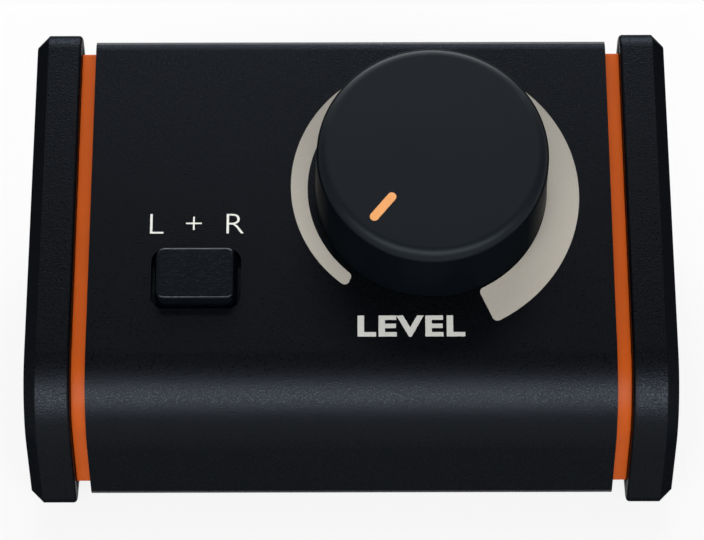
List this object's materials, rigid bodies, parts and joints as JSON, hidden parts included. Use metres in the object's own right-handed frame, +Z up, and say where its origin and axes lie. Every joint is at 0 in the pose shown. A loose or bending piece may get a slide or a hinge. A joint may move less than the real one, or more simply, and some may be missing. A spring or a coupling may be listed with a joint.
{
  "type": "studio monitor controller",
  "caption": "Small desktop box with a sloping panel, a large level knob, a mono push button, orange side bands, thick black cheeks and jack sockets at the rear.",
  "frame": {"origin": "middle of the case, on the surface that the feet stand on", "axes": "+X to the right seen from the front, +Y to the rear with the sockets, +Z up"},
  "size_m": [0.1154, 0.0732, 0.0631],
  "materials": {
    "cover_paint": "fine grained black powder coat",
    "tray_paint": "fine grained black powder coat",
    "cheek_plastic": "fine grained black moulding",
    "band_plastic": "satin orange moulding",
    "black_screw": "black zinc",
    "plated_steel": "bright zinc",
    "foot_rubber": "matt black rubber",
    "knob_plastic": "soft matt black moulding",
    "pointer_plastic": "light orange inlay",
    "hub_brass": "turned brass",
    "shaft_metal": "turned",
    "button_plastic": "satin black moulding",
    "switch_plastic": "black moulding",
    "plunger_plastic": "natural moulding",
    "circuit_board": "green solder mask on glass laminate",
    "resistor_body": "lacquered",
    "tinned_metal": "tinned",
    "jack_plastic": "black glass-filled moulding",
    "nickel_plate": "nickel plate",
    "grub_steel": "black oxide"
  },
  "bodies": {
    "case": {"board_links": "tinned_metal", "board_screws": "plated_steel", "board_standoffs": "plated_steel", "chassis_tray": "tray_paint", "cheek_left": "cheek_plastic", "cheek_right": "cheek_plastic", "cheek_screws": "black_screw", "control_board": "circuit_board", "control_screws": "plated_steel", "control_spacers": "plated_steel", "end_plate_left": "band_plastic", "end_plate_right": "band_plastic", "flange_screws": "black_screw", "input_jack_left": "jack_plastic", "input_jack_right": "jack_plastic", "jack_board": "circuit_board", "jack_contacts": "tinned_metal", "jack_nuts": "nickel_plate", "jack_washers": "nickel_plate", "lip_screws": "black_screw", "mini_jack": "jack_plastic", "mini_jack_contacts": "tinned_metal", "mini_jack_nut": "nickel_plate", "mini_jack_washer": "nickel_plate", "output_jack_left": "jack_plastic", "output_jack_right": "jack_plastic", "pot_bushing": "shaft_metal", "pot_can": "plated_steel", "pot_legs": "tinned_metal", "pot_nut": "plated_steel", "pot_tracks": "circuit_board", "pot_washer": "plated_steel", "press_nuts": "plated_steel", "resistors": "resistor_body", "rubber_feet": "foot_rubber", "switch_housing": "switch_plastic", "switch_legs": "tinned_metal", "switch_spring": "plated_steel", "tie_bar": "plated_steel", "top_cover": "cover_paint"},
    "knob": {"knob_cap": "knob_plastic", "knob_pointer": "pointer_plastic", "knob_hub": "hub_brass", "knob_grub_screw": "grub_steel", "pot_shaft": "shaft_metal", "pot_wipers": "tinned_metal"},
    "button": {"button_cap": "button_plastic", "switch_plunger": "plunger_plastic", "switch_sliders": "tinned_metal"}
  },
  "joints": [
    {"name": "knob_turn", "type": "hinge", "parent": "case", "child": "knob", "pos_m": [0.01433, 0.00561, 0.0404], "axis": [0, 0.342, -0.9397], "range_deg": [0, 296]},
    {"name": "mono_press", "type": "slide", "parent": "case", "child": "button", "axis": [0, 0.342, -0.9397], "range_m": [0, 0.0025], "stiffness_N_per_m": 400, "springref_m": -0.0015, "deforming": ["switch_spring"]}
  ]
}
